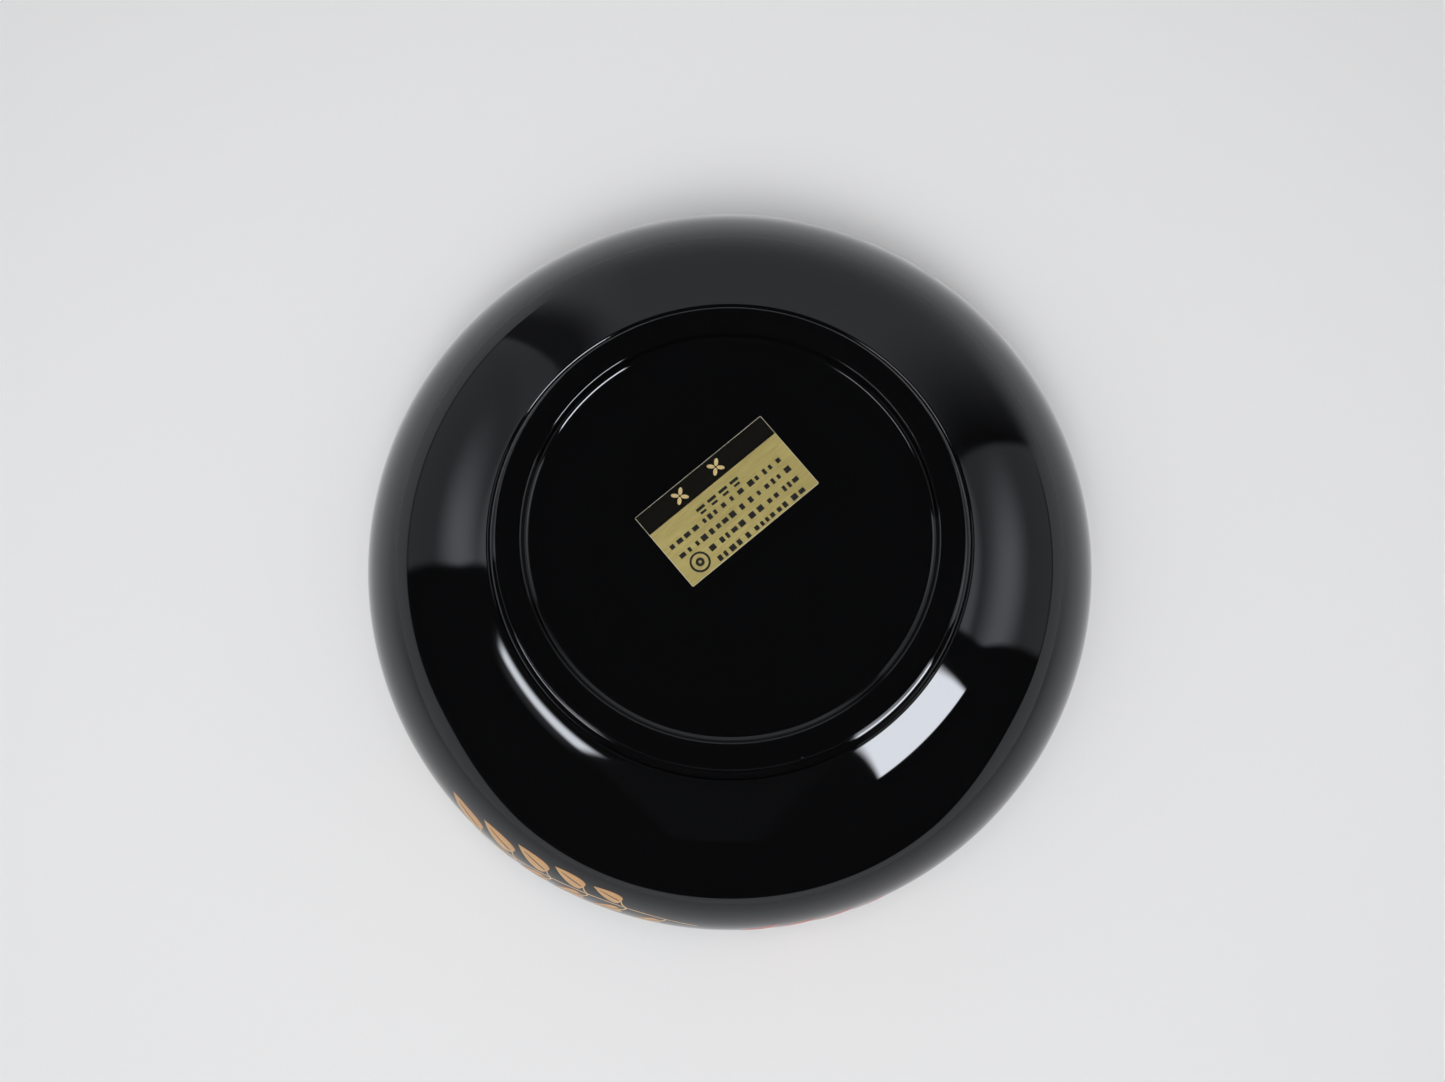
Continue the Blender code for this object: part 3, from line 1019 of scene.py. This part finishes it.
# the room by direction: angles are in degrees, lines are (slope, offset) in a plane overhead,
# and a ramp is its start, its end and the level at each
room = {
    "backStart": {"lean": -0.3, "ramp": (22.0, 52.0)},
    "backEnd": {"lean": 0.22, "ramp": (118.0, 128.0, 1.0, 0.0)},
    "backTop": (66.0, 70.5, 1.0, 0.0),
    "backTone": (15.0, 70.0, 0.56, 0.70),
    "boards": [
        {
            "half": "LESS_THAN",
            "near": ((-0.098, 0.089), (0.0, 0.172)),
            "far": (-1.19, 0.1755),
            "glow": 1.4,
            "glowTurn": (148.0, 178.0, 14.0),
            "glowLift": (40.0, 62.0, 10.0),
        },
        {
            "half": "GREATER_THAN",
            "near": ((-0.18, 0.06), (-0.37, 0.20)),
            "far": (0.517, 0.153),
            "glow": 1.3,
            "glowTurn": (-22.0, 24.0, 14.0),
            "glowLift": (36.0, 56.0, 9.0),
        },
    ],
    "boardSoft": 0.02,
    "boardTop": (71.0, 73.0, 1.0, 0.0),
    "boardLight": 0.46,
    "boardRise": (62.0, 69.0, 0.0, 0.85),  # brighter towards the top
    "boardFoot": (0.4, 2.0, 0.4, 1.0),  # the shade where the boards stand
    "gapTurn": (108.0, 130.0, 3.0),
    "gapTop": (60.0, 72.0, 1.0, 0.0),
    "gapLight": 0.09,
    "panels": [
        {  # the lamp at the right
            "centre": (0.42, -0.204),
            "heading": math.radians(-42.8),
            "halfLength": 0.2535,
            "halfWidth": 0.137,
            "taper": 0.231,
            "soft": (0.014, 0.012),
            "light": 19.0,
        },
        {  # the lamp at the left
            "centre": (-0.329, -0.087),
            "heading": math.radians(-54.3),
            "halfLength": 0.125,
            "halfWidth": 0.042,
            "taper": 0.05,
            "soft": (0.022, 0.030),
            "light": 15.0,
        },
        {  # the glow round it
            "centre": (-0.36, -0.11),
            "heading": math.radians(-54.3),
            "halfLength": 0.12,
            "halfWidth": 0.07,
            "taper": 0.0,
            "soft": (0.06, 0.07),
            "light": 0.7,
        },
        {  # a faint pale shape over the near edge
            "centre": (-0.06, -0.62),
            "heading": math.radians(90),
            "halfLength": 0.5,
            "halfWidth": 0.22,
            "taper": 0.0,
            "soft": (0.02, 0.02),
            "light": 0.035,
        },
    ],
    "horizon": (0.35, 1.0, 8.5, -7.0),
    "crisp": (-0.3, 0.3, 1.0, 0.0),
    "blurred": (-10.0, 8.0, 1.0, 0.0),
    "blurStart": (18.0, 34.0),
    "blurEnd": (116.0, 124.0, 1.0, 0.0),
    "paperDepth": (-25.0, 0.0),
    "windowX": (0.25, 1.25, 0.04),
    "windowY": (-0.75, 0.75, 0.04),
    "windowLight": 5.0,
    "skyEnd": (-50.0, -35.0),
}


def makeSurroundings():
    # the room round the upturned bowl, painted by direction. Up here is the way the foot faces, -Z.
    world = bpy.data.worlds.new("studio")
    world.use_nodes = True
    bpy.context.scene.world = world
    tree = world.node_tree
    background = tree.nodes["Background"]
    way = tree.nodes.new("ShaderNodeTexCoord").outputs["Generated"]
    turned = tree.nodes.new("ShaderNodeMapping")
    turned.inputs["Scale"].default_value = (-1, 1, -1)
    tree.links.new(way, turned.inputs["Vector"])
    split = tree.nodes.new("ShaderNodeSeparateXYZ")
    tree.links.new(turned.outputs["Vector"], split.inputs[0])
    x, y, z = split.outputs

    def add(first, second):
        return addMath(tree, "ADD", first, second)

    def minus(first, second):
        return addMath(tree, "SUBTRACT", first, second)

    def times(*parts):
        level = parts[0]
        for part in parts[1:]:
            level = addMath(tree, "MULTIPLY", level, part)
        return level

    def ramp(value, limits):
        return addRamp(tree, value, *limits)

    def root(value):
        return addMath(tree, "SQRT", value)

    def atLeast(value, least):
        return addMath(tree, "MAXIMUM", value, least)

    def between(value, limits):
        # 1 inside the range, falling off over a soft edge
        low, high, soft = limits
        return times(ramp(value, (low - soft, low + soft)), ramp(value, (high - soft, high + soft, 1.0, 0.0)))

    def choose(factor, whenZero, whenOne):
        mix = tree.nodes.new("ShaderNodeMix")
        mix.data_type = "FLOAT"
        tree.links.new(factor, mix.inputs[0])
        for index, value in ((2, whenZero), (3, whenOne)):
            if isinstance(value, float):
                mix.inputs[index].default_value = value
            else:
                tree.links.new(value, mix.inputs[index])
        return mix.outputs[0]

    azimuth = times(addMath(tree, "ARCTAN2", y, x), 180 / math.pi)
    elevation = times(addMath(tree, "ARCSINE", z), 180 / math.pi)
    # the same direction as a point in a plane overhead, where straight edges stay straight
    planX = addMath(tree, "DIVIDE", x, atLeast(z, 0.02))
    planY = addMath(tree, "DIVIDE", y, atLeast(z, 0.02))
    above = addMath(tree, "GREATER_THAN", z, 0.0)
    planSquare = add(add(times(planX, planX), times(planY, planY)), 0.02)

    def farSide(line):
        # 1 beyond the line, falling off by angle
        gap = minus(planY, addMath(tree, "MULTIPLY_ADD", planX, *line))
        return ramp(addMath(tree, "DIVIDE", gap, root(planSquare)), (-room["boardSoft"], room["boardSoft"]))

    # grey backdrop behind the table
    backStart = addMath(tree, "MULTIPLY_ADD", elevation, room["backStart"]["lean"], azimuth)
    backEnd = addMath(tree, "MULTIPLY_ADD", elevation, room["backEnd"]["lean"], azimuth)
    backWide = times(ramp(backStart, room["backStart"]["ramp"]), ramp(backEnd, room["backEnd"]["ramp"]))
    lights = times(backWide, ramp(elevation, room["backTop"]), ramp(elevation, room["backTone"]))
    gapWide = times(between(azimuth, room["gapTurn"]), ramp(elevation, room["gapTop"]))
    lights = add(lights, times(gapWide, room["gapLight"]))

    # pale boards at the left and the right, each with a bright patch from its lamp
    boardLight = add(ramp(elevation, room["boardRise"]), room["boardLight"])
    for board in room["boards"]:
        extent = times(above, addMath(tree, board["half"], planX, 0.0), ramp(elevation, room["boardTop"]))
        for line in board["near"]:
            extent = times(extent, farSide(line))
        extent = times(extent, minus(1.0, farSide(board["far"])))
        glow = times(between(azimuth, board["glowTurn"]), between(elevation, board["glowLift"]))
        lights = add(lights, times(extent, add(times(glow, board["glow"]), boardLight)))

    # lamps over the near corners, as panels in the plane overhead
    for panel in room["panels"]:
        shiftX, shiftY = minus(planX, panel["centre"][0]), minus(planY, panel["centre"][1])
        cosine, sine = math.cos(panel["heading"]), math.sin(panel["heading"])
        along = add(times(shiftX, cosine), times(shiftY, sine))
        across = addMath(tree, "ABSOLUTE", add(times(shiftX, -sine), times(shiftY, cosine)))
        width = addMath(tree, "MULTIPLY_ADD", along, panel["taper"], panel["halfWidth"])
        length, (endSoft, sideSoft) = panel["halfLength"], panel["soft"]
        inLength = ramp(addMath(tree, "ABSOLUTE", along), (length - endSoft, length + endSoft, 1.0, 0.0))
        inWidth = ramp(minus(across, width), (-sideSoft, sideSoft, 1.0, 0.0))
        lights = add(lights, times(inLength, inWidth, above, panel["light"]))
    lights = add(lights, studio["dark"])

    # the paper table fills the view up to a horizon that dips towards the near edge
    flat = root(add(times(x, x), times(y, y)))
    toFront = addMath(tree, "DIVIDE", times(y, -1.0), atLeast(flat, 0.001))
    below = minus(elevation, ramp(toFront, room["horizon"]))
    paper = ramp(below, (*room["paperDepth"], studio["table"], studio["tableFar"]))
    # the horizon is crisp before the boards and soft before the backdrop between them
    behind = times(ramp(azimuth, room["blurStart"]), ramp(azimuth, room["blurEnd"]))
    onTable = choose(behind, ramp(below, room["crisp"]), ramp(below, room["blurred"]))
    lights = times(lights, choose(behind, ramp(below, room["boardFoot"]), 1.0))
    around = choose(onTable, lights, paper)

    # over the open mouth: a soft sky with one broad window light, for the bowl seen upright
    deep = atLeast(times(z, -1.0), 0.05)
    windowX = between(addMath(tree, "DIVIDE", x, deep), room["windowX"])
    windowY = between(addMath(tree, "DIVIDE", y, deep), room["windowY"])
    sky = add(times(windowX, windowY, room["windowLight"]), studio["sky"])
    mirrored = choose(ramp(elevation, room["skyEnd"]), sky, around)

    # matt surfaces are lit softly by broad keys, with a fill from all over
    soft = studio["fill"]
    for light in studio["keys"]:
        turn, lift = light["azimuth"], light["lift"]
        level = add(times(x, math.cos(turn) * math.cos(lift)), times(y, math.sin(turn) * math.cos(lift)))
        towards = atLeast(add(level, times(z, math.sin(lift))), 0.0)
        lobe = addMath(tree, "POWER", towards, light["focus"])
        soft = addMath(tree, "MULTIPLY_ADD", lobe, light["light"], soft)
    path = tree.nodes.new("ShaderNodeLightPath")
    lit = choose(path.outputs["Is Diffuse Ray"], mirrored, soft)

    # a plain pale backdrop where the camera sees past the floor
    seen = choose(path.outputs["Is Camera Ray"], lit, studio["cameraSky"])
    tree.links.new(seen, background.inputs["Strength"])
    background.inputs["Color"].default_value = studio["tint"]
    world.cycles.sampling_method = "NONE"  # so that each kind of ray meets its own surroundings


def makeCamera():
    data = bpy.data.cameras.new("camera")
    camera = bpy.data.objects.new("camera", data)
    bpy.context.scene.collection.objects.link(camera)
    data.sensor_width = 36
    data.lens = data.sensor_width / 2 / math.tan(studio["fieldOfView"] / 2)
    data.clip_start = 0.01
    data.clip_end = 50
    tilt = studio["tilt"]
    rightWay = Vector((-1, 0, 0))
    upWay = Vector((0, math.cos(tilt), -math.sin(tilt)))
    backWay = -Vector((0, math.sin(tilt), math.cos(tilt)))
    facing = Matrix((rightWay, upWay, backWay)).transposed().to_4x4()
    camera.matrix_world = Matrix.Translation(studio["camera"]) @ facing
    bpy.context.scene.camera = camera


makeBody()
makeGoldSpray()
makeRedSpray()
makeLabel()
makeStage()
makeSurroundings()
makeCamera()
bpy.context.scene.view_settings.view_transform = "Standard"
print("stage, surroundings and camera ready")
